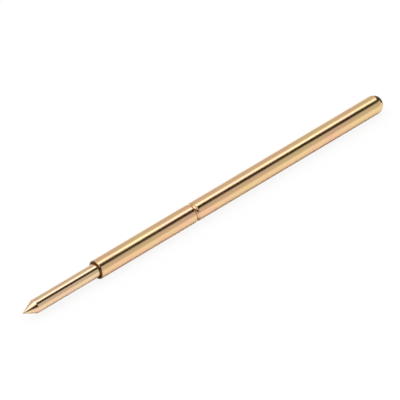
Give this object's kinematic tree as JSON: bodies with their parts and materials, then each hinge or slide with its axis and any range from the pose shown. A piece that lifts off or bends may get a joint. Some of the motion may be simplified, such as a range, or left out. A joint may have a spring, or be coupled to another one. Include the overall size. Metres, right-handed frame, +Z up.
{
  "type": "pogo pin",
  "caption": "Slim gold-plated spring contact probe: a spear-pointed plunger slides in a round barrel with a rolled crimp and a domed tail, and a coil spring inside pushes it out.",
  "frame": {"origin": "on the probe's axis, midway along the barrel", "axes": "+X along the axis, from the spear point towards the domed tail; +Z up, with the probe lying level; the probe is round, so Y and Z are alike"},
  "size_m": [0.0164, 0.0006, 0.0006],
  "materials": {
    "barrel_gold": "gloss",
    "plunger_gold": "gloss",
    "spring_wire": "satin"
  },
  "bodies": {
    "barrel": {"barrel": "barrel_gold", "spring": "spring_wire"},
    "plunger": {"plunger": "plunger_gold"}
  },
  "joints": [
    {"name": "plunger_travel", "type": "slide", "parent": "barrel", "child": "plunger", "axis": [1, 0, 0], "range_m": [0, 0.00265], "stiffness_N_per_m": 250, "deforming": ["spring"]}
  ]
}
